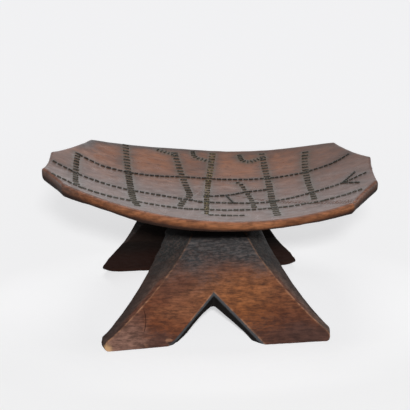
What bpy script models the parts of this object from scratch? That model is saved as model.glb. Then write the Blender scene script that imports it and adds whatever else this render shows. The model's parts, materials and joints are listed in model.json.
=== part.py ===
"""A low carved wooden stool with a dished seat, two leaning forked legs and wire-stitched rows on the seat.

The seat and both legs are one carved block. Each stitched row is a length of wire of its own, laid in a
narrow groove in the seat. Metres, +Z up, +X along the seat, the origin on the floor under its middle.
"""

import math

import bmesh
import bpy
from mathutils import Vector

# Seat outline, seen from above
SEAT_LENGTH = 0.518
SEAT_DEPTH = 0.358
REAR_LEFT_CUT_LENGTH = 0.066
REAR_LEFT_CUT_DEPTH = 0.040
REAR_RIGHT_CUT_LENGTH = 0.038
REAR_RIGHT_CUT_DEPTH = 0.043
FRONT_RIGHT_CUT_LENGTH = 0.074
FRONT_RIGHT_CUT_DEPTH = 0.029
FRONT_LEFT_CUT_LENGTH = 0.031
FRONT_LEFT_CUT_DEPTH = 0.056
RIGHT_END_REAR_Y = 0.040
RIGHT_END_FRONT_Y = -0.072
RIGHT_END_SKEW = 0.018
LEFT_END_REAR_Y = 0.021
LEFT_END_FRONT_Y = -0.069
LEFT_END_SKEW = 0.008
CORNER_CUT_HOLLOW = 0.003
END_HOLLOW = 0.002

# Seat dish, rim and belly
SEAT_LOW_HEIGHT = 0.188
SEAT_LOW_X = 0.035
DISH_LENGTH_RADIUS = 0.642
DISH_DEPTH_RADIUS = 1.080
RIM_THICKNESS = 0.015
RIM_ROUNDING = 0.003
BELLY_THICKNESS = 0.028
BELLY_LENGTH = 0.480
BELLY_DEPTH = 0.350

# Legs
BASE_Y = -0.001
FRONT_FOOT_X = -0.0115
FRONT_LEG_TOP_X = 0.006
FRONT_NOTCH_X = -0.011
REAR_FOOT_X = -0.012
REAR_LEG_TOP_X = -0.023
REAR_NOTCH_X = -0.013
FOOT_HALF_SPREAD = 0.153
FRONT_FOOT_HALF_WIDTH = 0.1885
REAR_FOOT_HALF_WIDTH = 0.184
FRONT_LEG_TOP_HALF_WIDTH = 0.055
REAR_LEG_TOP_HALF_WIDTH = 0.084
LEG_TOP_COVER = 0.010
LEG_TOP_HEIGHT = SEAT_LOW_HEIGHT - LEG_TOP_COVER
FRONT_FLARE_POWER = 1.7
REAR_FLARE_POWER = 1.2
LEG_FACE_LEAN = math.radians(38.0)
LEG_NECK_HALF_DEPTH = 0.020
FACET_DEPTH = 0.040
LEFT_SETBACK_AT_FOOT = 0.014
RIGHT_SETBACK_AT_FOOT = 0.008
SETBACK_AT_TOP = 0.030
TOE_HEIGHT = 0.010
TOE_UNDERCUT = 0.007
FOOT_FLAT_DEPTH = 0.015
TUNNEL_HEIGHT = 0.135
TUNNEL_CROWN_HALF_DEPTH = 0.013
TUNNEL_KNEE_HEIGHT = 0.095
TUNNEL_KNEE_HALF_DEPTH = 0.034
NOTCH_HALF_WIDTH = 0.067
NOTCH_HEIGHT = 0.061
NOTCH_RIDGE_SLOPE = math.radians(71.0)

# Wire rows and the grooves that hold them
WIRE_DIAMETER = 0.0022
STITCH_LENGTH = 0.0066
STITCH_PITCH = 0.0098
RUNG_LENGTH = 0.0085
RUNG_PITCH = 0.0098
CREST_HEIGHT = 0.0005
WIRE_DIP = 0.0016
GROOVE_CLEARANCE = 0.0005
REST_GAP = 0.0005

# Mesh fineness
LONG_EDGE_STEPS = 16
CUT_STEPS = 5
END_STEPS = 4
TOP_RINGS = 9
UNDERSIDE_RINGS = 5
LEG_LEVELS = 10
TOE_LEVELS = 3
NOTCH_STEPS = 4
GROOVE_STEP = 0.030
GROOVE_CHECK = 0.002
GROOVE_TURN = math.radians(4.0)
ROUTE_SAMPLES = 24
CUTTER_MARGIN = 0.020

# The stitched rows: routes in millimetres on a plan of the seat that is stretched to its real size
PLAN_LENGTH = 518.0
PLAN_DEPTH = 358.0
LADDER = "ladder"
RUNNING = "running"
ROWS = (
    ("cross_row_left_end", LADDER, ((-211, 58), (-212, -5), (-210, -80), (-206, -98))),
    ("cross_row_left", LADDER, ((-135, 156), (-134, 95), (-132, 20), (-128, -90), (-122, -134))),
    ("cross_row_mid_left", LADDER, ((-52, 158), (-49, 110), (-43, 25), (-40, -20), (-44, -42))),
    ("cross_row_mid_left_tail", LADDER, ((-52, -60), (-57, -80), (-60, -94))),
    ("cross_row_centre", LADDER, ((15, 168), (5, 105), (-6, 35), (-15, -35), (-22, -105), (-25, -130))),
    ("cross_row_mid_right", LADDER, ((40, 44), (47, 28), (49, 0), (52, -40), (50, -92))),
    ("cross_row_right", LADDER, ((99, 158), (95, 95), (89, 10), (82, -60), (75, -150))),
    ("cross_row_right_end", LADDER, ((170, 130), (160, 85), (150, 10), (145, -50), (141, -86))),
    ("branch_row_left", RUNNING, ((-80, 158), (-66, 151))),
    ("hook_row_left", RUNNING, ((-20, 166), (-18, 146), (-4, 136))),
    ("hook_row_right", RUNNING, ((60, 158), (62, 136), (72, 127), (86, 132))),
    ("rear_row_1", RUNNING, ((-198, 48), (-170, 41), (-144, 41))),
    ("rear_row_2", RUNNING, ((-124, 42), (-95, 47), (-57, 56))),
    ("rear_row_3", RUNNING, ((-36, 59), (-12, 59))),
    ("rear_row_4", RUNNING, ((8, 57), (50, 53), (82, 50))),
    ("rear_row_5", RUNNING, ((103, 48), (143, 48))),
    ("rear_row_6", RUNNING, ((166, 51), (200, 58), (232, 75))),
    ("middle_row_1", RUNNING, ((-246, -17), (-222, -29))),
    ("middle_row_2", RUNNING, ((-201, -38), (-170, -45), (-142, -47))),
    ("middle_row_3", RUNNING, ((-120, -46), (-95, -45), (-56, -49))),
    ("middle_row_4", RUNNING, ((-40, -55), (-28, -57))),
    ("centre_row_1", RUNNING, ((-4, -25), (20, -20), (39, -11))),
    ("centre_row_2", RUNNING, ((60, -5), (77, -3))),
    ("inner_row_1", RUNNING, ((-8, -60), (20, -61), (40, -64))),
    ("inner_row_2", RUNNING, ((62, -66), (71, -66))),
    ("small_cross_row", RUNNING, ((18, -30), (22, -52))),
    ("middle_row_5", RUNNING, ((93, -62), (115, -57), (134, -52))),
    ("middle_row_6", RUNNING, ((156, -46), (196, -36), (236, -21))),
    ("fork_prong_rear", RUNNING, ((205, -24), (222, -4))),
    ("fork_prong_front", RUNNING, ((203, -44), (216, -56))),
    ("front_row_1", RUNNING, ((-244, -82), (-219, -97))),
    ("front_row_2", RUNNING, ((-195, -107), (-165, -112), (-138, -109))),
    ("front_row_3", RUNNING, ((-108, -106), (-72, -106))),
    ("front_row_4", RUNNING, ((-48, -105), (-34, -104))),
    ("front_row_5", RUNNING, ((-10, -102), (40, -101))),
    ("front_row_6", RUNNING, ((62, -101), (69, -101))),
    ("front_row_7", RUNNING, ((90, -101), (131, -101))),
    ("front_row_8", RUNNING, ((152, -100), (185, -96), (212, -90))),
    ("short_front_row", RUNNING, ((-12, -134), (30, -135))),
)
BRASS_ROWS = ("cross_row_centre",)


def clear_scene():
    for obj in list(bpy.data.objects):
        bpy.data.objects.remove(obj, do_unlink=True)


def new_collection(name):
    collection = bpy.data.collections.new(name)
    bpy.context.scene.collection.children.link(collection)
    return collection


def new_material(name, colour, roughness, metallic):
    material = bpy.data.materials.new(name)
    material.use_nodes = True
    shader = material.node_tree.nodes["Principled BSDF"]
    shader.inputs["Base Color"].default_value = (*colour, 1.0)
    shader.inputs["Roughness"].default_value = roughness
    shader.inputs["Metallic"].default_value = metallic
    return material


def bend(start, end, hollow, steps):
    """Points from start up to end, pulled in by the hollow to the left of the way (a bulge if negative)."""
    along = end - start
    side = Vector((-along.y, along.x)).normalized()
    points = []
    for i in range(steps):
        t = i / steps
        points.append(start + along * t + side * (hollow * 4 * t * (1 - t)))
    return points


def seat_outline():
    """The seat's edge from above, anticlockwise, with its box centred on the origin."""
    right = SEAT_LENGTH / 2
    rear = SEAT_DEPTH / 2
    front_left = Vector((-right + FRONT_LEFT_CUT_LENGTH, -rear + FRONT_LEFT_CUT_DEPTH))
    front_right = Vector((right - FRONT_RIGHT_CUT_LENGTH, -rear + FRONT_RIGHT_CUT_DEPTH))
    right_front = Vector((right - RIGHT_END_SKEW, RIGHT_END_FRONT_Y))
    right_rear = Vector((right, RIGHT_END_REAR_Y))
    rear_right = Vector((right - REAR_RIGHT_CUT_LENGTH, rear - REAR_RIGHT_CUT_DEPTH))
    rear_left = Vector((-right + REAR_LEFT_CUT_LENGTH, rear - REAR_LEFT_CUT_DEPTH))
    left_rear = Vector((-right + LEFT_END_SKEW, LEFT_END_REAR_Y))
    left_front = Vector((-right, LEFT_END_FRONT_Y))
    front_bow = rear + (front_left.y + front_right.y) / 2
    rear_bow = rear - (rear_left.y + rear_right.y) / 2
    points = bend(front_left, front_right, -front_bow, LONG_EDGE_STEPS)
    points += bend(front_right, right_front, CORNER_CUT_HOLLOW, CUT_STEPS)
    points += bend(right_front, right_rear, END_HOLLOW, END_STEPS)
    points += bend(right_rear, rear_right, CORNER_CUT_HOLLOW, CUT_STEPS)
    points += bend(rear_right, rear_left, -rear_bow, LONG_EDGE_STEPS)
    points += bend(rear_left, left_rear, CORNER_CUT_HOLLOW, CUT_STEPS)
    points += bend(left_rear, left_front, END_HOLLOW, END_STEPS)
    points += bend(left_front, front_left, CORNER_CUT_HOLLOW, CUT_STEPS)
    xs = [p.x for p in points]
    ys = [p.y for p in points]
    middle = Vector((max(xs) + min(xs), max(ys) + min(ys))) / 2
    return [p - middle for p in points]


def seat_top(x, y):
    along = (x - SEAT_LOW_X) ** 2 / (2 * DISH_LENGTH_RADIUS)
    across = y ** 2 / (2 * DISH_DEPTH_RADIUS)
    return SEAT_LOW_HEIGHT + along + across


def seat_underside(x, y):
    reach = (2 * x / BELLY_LENGTH) ** 2 + (2 * y / BELLY_DEPTH) ** 2
    belly = BELLY_THICKNESS * max(0.0, 1 - reach) ** 2
    return seat_top(x, y) - RIM_THICKNESS - belly


def loft(name, sections, collection):
    """A closed solid through sections of equal point counts, with flat caps at both ends."""
    mesh = bmesh.new()
    loops = [[mesh.verts.new(point) for point in section] for section in sections]
    for lower, upper in zip(loops, loops[1:]):
        for i in range(len(lower)):
            j = (i + 1) % len(lower)
            mesh.faces.new((lower[i], lower[j], upper[j], upper[i]))
    mesh.faces.new(loops[0])
    mesh.faces.new(loops[-1])
    bmesh.ops.recalc_face_normals(mesh, faces=mesh.faces)
    return finish_mesh(name, mesh, collection)


def finish_mesh(name, mesh, collection):
    data = bpy.data.meshes.new(name)
    mesh.to_mesh(data)
    mesh.free()
    obj = bpy.data.objects.new(name, data)
    collection.objects.link(obj)
    return obj


def make_cutter(obj):
    obj.hide_render = True
    obj.display_type = "WIRE"
    return obj


def apply_boolean(target, operation, operand):
    modifier = target.modifiers.new(operand.name, "BOOLEAN")
    modifier.operation = operation
    modifier.object = operand


def seat_ring(outline, share, inset, height):
    """The outline drawn in towards the middle, laid at a height that is given for each point."""
    ring = []
    for point in outline:
        reach = point.length
        scale = share * (reach - inset) / reach
        x = point.x * scale
        y = point.y * scale
        ring.append((x, y, height(x, y)))
    return ring


def build_seat(collection):
    """The dished board: rings from the belly out over the rounded rim and in across the dish."""
    outline = seat_outline()
    sections = []
    for i in range(1, UNDERSIDE_RINGS + 1):
        inset = RIM_ROUNDING if i == UNDERSIDE_RINGS else 0.0
        sections.append(seat_ring(outline, i / UNDERSIDE_RINGS, inset, seat_underside))
    sections.append(seat_ring(outline, 1, 0, lambda x, y: seat_underside(x, y) + RIM_ROUNDING))
    sections.append(seat_ring(outline, 1, 0, lambda x, y: seat_top(x, y) - RIM_ROUNDING))
    for i in range(TOP_RINGS, 0, -1):
        inset = RIM_ROUNDING if i == TOP_RINGS else 0.0
        sections.append(seat_ring(outline, i / TOP_RINGS, inset, seat_top))
    return loft("carved_body", sections, collection)


def leg_half_width(height, foot_half_width, top_half_width, flare_power):
    """Half the width of a leg: narrow under the seat, flaring to the feet, rounded under the toe."""
    climb = 1 - max(height, TOE_HEIGHT) / LEG_TOP_HEIGHT
    flare = top_half_width + (foot_half_width - top_half_width) * climb ** flare_power
    under_toe = max(0.0, 1 - height / TOE_HEIGHT)
    return flare - TOE_UNDERCUT * (1 - math.sqrt(1 - under_toe ** 2))


def leg_section(height):
    """One level of the leg block: two leaning faces and four side facets."""
    share = height / LEG_TOP_HEIGHT
    front_x = FRONT_FOOT_X + (FRONT_LEG_TOP_X - FRONT_FOOT_X) * share
    rear_x = REAR_FOOT_X + (REAR_LEG_TOP_X - REAR_FOOT_X) * share
    front_half = leg_half_width(height, FRONT_FOOT_HALF_WIDTH, FRONT_LEG_TOP_HALF_WIDTH, FRONT_FLARE_POWER)
    rear_half = leg_half_width(height, REAR_FOOT_HALF_WIDTH, REAR_LEG_TOP_HALF_WIDTH, REAR_FLARE_POWER)
    left_setback = LEFT_SETBACK_AT_FOOT + (SETBACK_AT_TOP - LEFT_SETBACK_AT_FOOT) * share
    right_setback = RIGHT_SETBACK_AT_FOOT + (SETBACK_AT_TOP - RIGHT_SETBACK_AT_FOOT) * share
    face = max(LEG_NECK_HALF_DEPTH, FOOT_HALF_SPREAD - height * math.tan(LEG_FACE_LEAN))
    shoulder = max(face - FACET_DEPTH, face / 2)
    return [
        (front_x - front_half + left_setback, BASE_Y - face, height),
        (front_x + front_half - right_setback, BASE_Y - face, height),
        (front_x + front_half, BASE_Y - shoulder, height),
        (rear_x + rear_half, BASE_Y + shoulder, height),
        (rear_x + rear_half - right_setback, BASE_Y + face, height),
        (rear_x - rear_half + left_setback, BASE_Y + face, height),
        (rear_x - rear_half, BASE_Y + shoulder, height),
        (front_x - front_half, BASE_Y - shoulder, height),
    ]


def build_legs(collection):
    climb = LEG_TOP_HEIGHT - TOE_HEIGHT
    levels = [TOE_HEIGHT * (1 - math.cos(math.pi / 2 * i / TOE_LEVELS)) for i in range(TOE_LEVELS)]
    levels += [TOE_HEIGHT + climb * i / LEG_LEVELS for i in range(LEG_LEVELS + 1)]
    return make_cutter(loft("leg_block", [leg_section(level) for level in levels], collection))


def build_tunnel(collection):
    """The space from end to end between the two legs, an upturned V that steepens to a blunt crown."""
    foot = FOOT_HALF_SPREAD - FOOT_FLAT_DEPTH
    knee = TUNNEL_KNEE_HALF_DEPTH
    crown = TUNNEL_CROWN_HALF_DEPTH
    below = -CUTTER_MARGIN
    splay = foot + (foot - knee) * CUTTER_MARGIN / TUNNEL_KNEE_HEIGHT
    reach = SEAT_LENGTH / 2
    sections = []
    for x in (-reach, reach):
        sections.append([
            (x, BASE_Y - splay, below),
            (x, BASE_Y + splay, below),
            (x, BASE_Y + knee, TUNNEL_KNEE_HEIGHT),
            (x, BASE_Y + crown, TUNNEL_HEIGHT),
            (x, BASE_Y - crown, TUNNEL_HEIGHT),
            (x, BASE_Y - knee, TUNNEL_KNEE_HEIGHT),
        ])
    return make_cutter(loft("tunnel_cutter", sections, collection))


def build_notch(name, side, centre_x, collection):
    """The V cut in a leg: its ridge runs steeply down to the inside, and its left foot straight back."""
    face_y = FOOT_HALF_SPREAD - NOTCH_HEIGHT * math.tan(LEG_FACE_LEAN)
    apex = Vector((centre_x, BASE_Y + side * face_y, NOTCH_HEIGHT))
    ridge = Vector((0, -side * math.cos(NOTCH_RIDGE_SLOPE), -math.sin(NOTCH_RIDGE_SLOPE)))
    fall = (NOTCH_HEIGHT + CUTTER_MARGIN) / NOTCH_HEIGHT
    spread = Vector((NOTCH_HALF_WIDTH, side * (FOOT_HALF_SPREAD - face_y), -NOTCH_HEIGHT)) * fall
    mirrored = Vector((-spread.x, spread.y, spread.z))
    straight_back = Vector((0, ridge.y, 0))
    sections = []
    for i in range(NOTCH_STEPS * 5 // 2 + 1):
        travel = NOTCH_HEIGHT * (i / NOTCH_STEPS - 1)
        corner = apex + ridge * travel
        sections.append([corner, corner + spread, apex + mirrored + straight_back * travel])
    return make_cutter(loft(name, sections, collection))


def smooth_route(points):
    """A smooth curve through the plan points, as closely spaced points in metres."""
    places = [Vector((x * SEAT_LENGTH / PLAN_LENGTH, y * SEAT_DEPTH / PLAN_DEPTH)) for x, y in points]
    ends = [places[0] * 2 - places[1]] + places + [places[-1] * 2 - places[-2]]
    route = []
    for a, b, c, d in zip(ends, ends[1:], ends[2:], ends[3:]):
        for i in range(ROUTE_SAMPLES):
            t = i / ROUTE_SAMPLES
            swing = (c - a) * t + (a * 2 - b * 5 + c * 4 - d) * t ** 2 + (b * 3 - a - c * 3 + d) * t ** 3
            route.append(b + swing / 2)
    route.append(places[-1])
    return route


def walk(route, distance):
    """The place on a route at a distance from its start, and the way it runs there."""
    left = distance
    for start, end in zip(route, route[1:]):
        step = (end - start).length
        if left <= step:
            break
        left -= step
    way = (end - start).normalized()
    return start + way * left, way


def beside(route, distance, offset):
    """The place next to a route at a distance from its start, offset to the right of the way."""
    place, way = walk(route, distance)
    return place + Vector((way.y, -way.x)) * offset


def route_length(route):
    return sum((end - start).length for start, end in zip(route, route[1:]))


def on_seat(place, rise):
    return Vector((place.x, place.y, seat_top(place.x, place.y) + rise))


def running_path(route):
    """Stitches in line with the row: the wire comes up, lies on top and dips under to the next."""
    length = route_length(route)
    count = max(1, round(length / STITCH_PITCH))
    pitch = length / count
    path = [on_seat(walk(route, 0.0)[0], -WIRE_DIP)]
    for i in range(count):
        middle = pitch * (i + 0.5)
        for reach in (-STITCH_LENGTH / 2, STITCH_LENGTH / 2):
            path.append(on_seat(walk(route, middle + reach)[0], CREST_HEIGHT))
        path.append(on_seat(walk(route, pitch * (i + 1))[0], -WIRE_DIP))
    return path


def ladder_path(route):
    """Rungs square to the row, lying on the wood, joined by dips at alternate sides."""
    length = route_length(route)
    count = max(2, round(length / RUNG_PITCH))
    pitch = length / count
    lie = WIRE_DIAMETER / 2 + REST_GAP
    half_rung = RUNG_LENGTH / 2
    side = 1
    path = [on_seat(beside(route, 0.0, -half_rung), -WIRE_DIP)]
    for i in range(count):
        middle = pitch * (i + 0.5)
        path.append(on_seat(beside(route, middle, -side * half_rung), lie))
        path.append(on_seat(beside(route, middle, side * half_rung), lie))
        path.append(on_seat(beside(route, pitch * (i + 1), side * half_rung), -WIRE_DIP))
        side = -side
    return path


def build_wire(name, path, material, collection):
    curve = bpy.data.curves.new(name, "CURVE")
    curve.dimensions = "3D"
    curve.bevel_depth = WIRE_DIAMETER / 2
    curve.bevel_resolution = 0
    curve.use_fill_caps = True
    spline = curve.splines.new("POLY")
    spline.points.add(len(path) - 1)
    for point, place in zip(spline.points, path):
        point.co = (*place, 1.0)
    curve.materials.append(material)
    obj = bpy.data.objects.new(name, curve)
    collection.objects.link(obj)
    return obj


def groove_stations(route):
    """Distances along a route where its groove gets a section: sooner where the route turns."""
    length = route_length(route)
    checks = max(2, math.ceil(length / GROOVE_CHECK))
    stations = [0.0]
    last_way = walk(route, 0.0)[1]
    for i in range(1, checks):
        distance = length * i / checks
        way = walk(route, distance)[1]
        if way.angle(last_way) > GROOVE_TURN or distance - stations[-1] > GROOVE_STEP:
            stations.append(distance)
            last_way = way
    stations.append(length)
    return stations


def build_groove(name, route, offset, collection):
    """A square-bottomed groove along a row, or along one side of it."""
    half_width = WIRE_DIAMETER / 2 + GROOVE_CLEARANCE
    floor = -WIRE_DIP - WIRE_DIAMETER / 2 - GROOVE_CLEARANCE
    lip = WIRE_DIAMETER
    stations = groove_stations(route)
    sections = []
    for distance in stations:
        place, way = walk(route, distance)
        side = Vector((way.y, -way.x))
        if distance == stations[0]:
            place = place - way * WIRE_DIAMETER
        if distance == stations[-1]:
            place = place + way * WIRE_DIAMETER
        left = place + side * (offset - half_width)
        right = place + side * (offset + half_width)
        corners = ((left, floor), (right, floor), (right, lip), (left, lip))
        sections.append([on_seat(corner, rise) for corner, rise in corners])
    return make_cutter(loft(name, sections, collection))


def main():
    clear_scene()
    parts = new_collection("carved_stool")
    cutters = new_collection("cutters")
    wood = new_material("carved_wood", (0.150, 0.062, 0.034), 0.45, 0.0)
    iron = new_material("iron_wire", (0.060, 0.058, 0.045), 0.50, 0.85)
    brass = new_material("brass_wire", (0.330, 0.240, 0.090), 0.45, 0.95)

    body = build_seat(parts)
    body.data.materials.append(wood)
    apply_boolean(body, "UNION", build_legs(cutters))
    apply_boolean(body, "DIFFERENCE", build_tunnel(cutters))
    apply_boolean(body, "DIFFERENCE", build_notch("front_notch_cutter", -1, FRONT_NOTCH_X, cutters))
    apply_boolean(body, "DIFFERENCE", build_notch("rear_notch_cutter", 1, REAR_NOTCH_X, cutters))

    for name, kind, points in ROWS:
        route = smooth_route(points)
        material = brass if name in BRASS_ROWS else iron
        if kind == LADDER:
            build_wire(name, ladder_path(route), material, parts)
            offsets = (-RUNG_LENGTH / 2, RUNG_LENGTH / 2)
        else:
            build_wire(name, running_path(route), material, parts)
            offsets = (0.0,)
        for offset in offsets:
            side = "left" if offset < 0 else "right"
            groove = build_groove(f"{name}_{side}_groove", route, offset, cutters)
            apply_boolean(body, "DIFFERENCE", groove)


main()
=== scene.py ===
# %% [markdown]
# # A carved wooden stool with stitched rows
#
# The stool is cut from one block of dark hardwood: a dished seat with its corners cut off, on two leaning
# legs that each fork into two feet. Rows of short wire stitches are set in the seat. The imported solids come
# in as a fixed frame, and everything below is made around them, in metres.

import json
import math
import random

import bmesh
import bpy
import numpy as np
from mathutils import Matrix, Vector
from mathutils.kdtree import KDTree

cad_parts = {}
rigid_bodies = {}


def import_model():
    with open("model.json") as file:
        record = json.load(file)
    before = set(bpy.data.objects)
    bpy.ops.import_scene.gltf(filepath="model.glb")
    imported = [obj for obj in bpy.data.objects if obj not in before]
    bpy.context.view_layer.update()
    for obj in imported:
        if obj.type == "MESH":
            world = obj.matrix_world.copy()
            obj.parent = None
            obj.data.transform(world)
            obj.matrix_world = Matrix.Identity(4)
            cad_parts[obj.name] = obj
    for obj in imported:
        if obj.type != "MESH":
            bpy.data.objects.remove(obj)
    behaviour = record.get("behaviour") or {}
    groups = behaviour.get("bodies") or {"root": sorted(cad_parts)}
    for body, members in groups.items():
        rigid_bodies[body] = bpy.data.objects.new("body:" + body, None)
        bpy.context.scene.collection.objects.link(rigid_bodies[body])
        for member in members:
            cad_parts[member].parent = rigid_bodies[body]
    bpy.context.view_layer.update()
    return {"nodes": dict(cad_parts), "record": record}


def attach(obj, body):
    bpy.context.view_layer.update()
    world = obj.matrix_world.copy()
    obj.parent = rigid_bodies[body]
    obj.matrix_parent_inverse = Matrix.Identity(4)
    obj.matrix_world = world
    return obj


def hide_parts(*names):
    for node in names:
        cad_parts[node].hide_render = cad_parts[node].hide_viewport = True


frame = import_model()


# %% [markdown]
# ## Camera
#
# The photograph looks down on the stool from about nineteen degrees, a little from the left, with a fairly
# long lens, so the seat hardly narrows towards the back. The place, the aim and the lens are set directly.
# A long lens keeps the near and far legs at their true sizes.

# %% Set the camera
PHOTO_PIXELS = 410
FOCAL_PIXELS = 928.8
SENSOR_WIDTH = 36.0
CAMERA_PLACE = Vector((-0.1459, -1.3708, 0.6505))
CAMERA_AIM = Vector((-0.0148, -0.0045, 0.1681))

bpy.ops.object.select_all(action="DESELECT")
bpy.ops.object.camera_add(location=CAMERA_PLACE)
camera = bpy.context.object
camera.rotation_euler = (CAMERA_AIM - CAMERA_PLACE).to_track_quat("-Z", "Y").to_euler()
camera.data.sensor_width = SENSOR_WIDTH
camera.data.lens = FOCAL_PIXELS / PHOTO_PIXELS * SENSOR_WIDTH
bpy.context.scene.camera = camera
bpy.context.scene.view_settings.view_transform = "Standard"
print("camera lens", round(camera.data.lens, 2), "mm")


# %% [markdown]
# ## Node helpers
#
# Every finish below is a small tree of shader nodes. A few helpers keep the trees short to read: one adds a
# node and fills its sockets, two mix colours or numbers, one maps a number from one range to another, and the
# others do sums.

# %% Helpers for shader trees
def add_node(tree, kind, inputs=None, **settings):
    """A new node with its settings made and its sockets filled by values or by links."""
    made = tree.nodes.new(kind)
    for name, value in settings.items():
        setattr(made, name, value)
    for socket, value in (inputs or {}).items():
        if isinstance(value, bpy.types.NodeSocket):
            tree.links.new(value, made.inputs[socket])
        else:
            made.inputs[socket].default_value = value
    return made


def mix_colour(tree, factor, first, second, blend="MIX"):
    sockets = {0: factor, 6: first, 7: second}
    return add_node(tree, "ShaderNodeMix", sockets, data_type="RGBA", blend_type=blend).outputs[2]


def mix_number(tree, factor, first, second):
    return add_node(tree, "ShaderNodeMix", {0: factor, 2: first, 3: second}, data_type="FLOAT").outputs[0]


def map_range(tree, value, low, high, to_low, to_high):
    sockets = {"Value": value, "From Min": low, "From Max": high, "To Min": to_low, "To Max": to_high}
    return add_node(tree, "ShaderNodeMapRange", sockets, interpolation_type="SMOOTHSTEP").outputs[0]


def calculate(tree, operation, first, second=0.0):
    return add_node(tree, "ShaderNodeMath", {0: first, 1: second}, operation=operation).outputs[0]


def multiply(tree, first, second):
    return calculate(tree, "MULTIPLY", first, second)


def vector_sum(tree, operation, first, second=(0.0, 0.0, 0.0)):
    """A sum with vectors, which gives a vector or, for a length or a dot product, a number."""
    made = add_node(tree, "ShaderNodeVectorMath", {0: first, 1: second}, operation=operation)
    return made.outputs["Value" if operation in ("LENGTH", "DOT_PRODUCT") else "Vector"]


def colour(red, green, blue):
    return (red, green, blue, 1.0)


# %% [markdown]
# ## Floor and light
#
# The stool stands in a pale studio. A soft lamp in front, about twenty-six degrees up, lights the legs and
# the front of the rim. It throws the seat's shadow on the top of the front leg and on the floor behind. It is
# hidden from reflections, since it would glare on the polished seat when seen from behind. A broad lamp
# overhead fills the seat. The floor is matt and takes the shadows. For the camera it also glows by just as
# much as the lamps leave it short of one even level, so that it is as pale far off as close by. The backdrop
# and the far floor are pale in reflections too, which gives the rubbed seat its grey sheen at a low angle.
# The light that they send to the wood stays low, so the hollow under the seat is nearly black.

# %% Hang the lamps
LAMPS = {
    "front_lamp": (Vector((-0.13, -1.65, 0.92)), Vector((0.0, 0.0, 0.1)), (0.15, 0.11), 31.0),
    "overhead_lamp": (Vector((0.0, 0.20, 1.90)), Vector((0.0, 0.0, 0.2)), (1.2, 0.9), 16.0),
}

for name, (place, aim, size, power) in LAMPS.items():
    bpy.ops.object.select_all(action="DESELECT")
    bpy.ops.object.light_add(type="AREA", location=place)
    lamp = bpy.context.object
    lamp.name = name
    lamp.rotation_euler = (aim - place).to_track_quat("-Z", "Y").to_euler()
    lamp.data.shape = "RECTANGLE"
    lamp.data.size, lamp.data.size_y = size
    lamp.data.energy = power
    lamp.visible_glossy = name != "front_lamp"
print("lamps hung:", ", ".join(LAMPS))

# %% Lay the floor
FLOOR_SIZE = 16.0
FLOOR_DROP = 0.0003
FLOOR_PALE = 0.56
FLOOR_DIM = 0.20
FLOOR_GLOW = colour(0.985, 0.985, 1.0)
FLOOR_LEVEL = 0.860
LAMP_SHARE = 1 / math.pi
COSINES_AND_SPREAD = 4.0
# The floor glows more under the stool: painted light that fills in most of the overhead lamp's shadow there.
UNDER_MIDDLE = (0.0, -0.023, 0.0)
UNDER_SCALE = (1 / 0.296, 1 / 0.201, 0.0)
UNDER_RANGE = (1.50, 0.60)
UNDER_GLOW = 0.21
MIRRORED_RANGE = (0.7, 2.2)
MIRRORED_GLOW = (0.04, 0.95)


def lamp_light(tree, place, lamp_place, aim, power):
    """How brightly an area lamp lights the floor at a place when nothing is in its way."""
    ray = vector_sum(tree, "SUBTRACT", place, lamp_place)
    far = vector_sum(tree, "LENGTH", ray)
    facing = vector_sum(tree, "DOT_PRODUCT", ray, (aim - lamp_place).normalized())
    spread = calculate(tree, "DIVIDE", facing, calculate(tree, "POWER", far, COSINES_AND_SPREAD))
    return multiply(tree, spread, LAMP_SHARE * power * lamp_place.z * FLOOR_PALE / math.pi)


bpy.ops.object.select_all(action="DESELECT")
bpy.ops.mesh.primitive_plane_add(size=FLOOR_SIZE, location=(0, 0, -FLOOR_DROP))
floor = bpy.context.object
floor.name = "studio_floor"
floor_finish = bpy.data.materials.new("studio_floor")
floor_finish.use_nodes = True
floor_tree = floor_finish.node_tree
floor_tree.nodes.clear()
path = add_node(floor_tree, "ShaderNodeLightPath")
place = add_node(floor_tree, "ShaderNodeTexCoord").outputs["Object"]
glow = FLOOR_LEVEL
for lamp_place, aim, size, power in LAMPS.values():
    glow = calculate(floor_tree, "SUBTRACT", glow, lamp_light(floor_tree, place, lamp_place, aim, power))
shrunk = vector_sum(floor_tree, "SUBTRACT", place, UNDER_MIDDLE)
shrunk = vector_sum(floor_tree, "LENGTH", vector_sum(floor_tree, "MULTIPLY", shrunk, UNDER_SCALE))
glow = calculate(floor_tree, "ADD", glow, map_range(floor_tree, shrunk, *UNDER_RANGE, 0.0, UNDER_GLOW))
seen = multiply(floor_tree, path.outputs["Is Camera Ray"], glow)
away = vector_sum(floor_tree, "LENGTH", place)
mirrored = multiply(floor_tree, path.outputs["Is Glossy Ray"],
                    map_range(floor_tree, away, *MIRRORED_RANGE, *MIRRORED_GLOW))
level = calculate(floor_tree, "MAXIMUM", seen, mirrored)
paleness = mix_number(floor_tree, path.outputs["Is Camera Ray"], FLOOR_DIM, FLOOR_PALE)
matt = add_node(floor_tree, "ShaderNodeBsdfDiffuse", {"Color": paleness})
shine = add_node(floor_tree, "ShaderNodeEmission", {"Color": FLOOR_GLOW, "Strength": level})
both = add_node(floor_tree, "ShaderNodeAddShader", {0: matt.outputs[0], 1: shine.outputs[0]})
add_node(floor_tree, "ShaderNodeOutputMaterial", {"Surface": both.outputs[0]})
floor.data.materials.append(floor_finish)
print("floor", FLOOR_SIZE, "m across")

# %% Light the backdrop
BACKDROP_SEEN = 0.915
BACKDROP_LOW = 1.14
BACKDROP_HIGH = 0.28
BACKDROP_RISE = (0.10, 0.60)
BACKDROP_LIGHT = 0.06
BACKDROP_TONE = colour(0.96, 0.97, 1.0)

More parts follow.
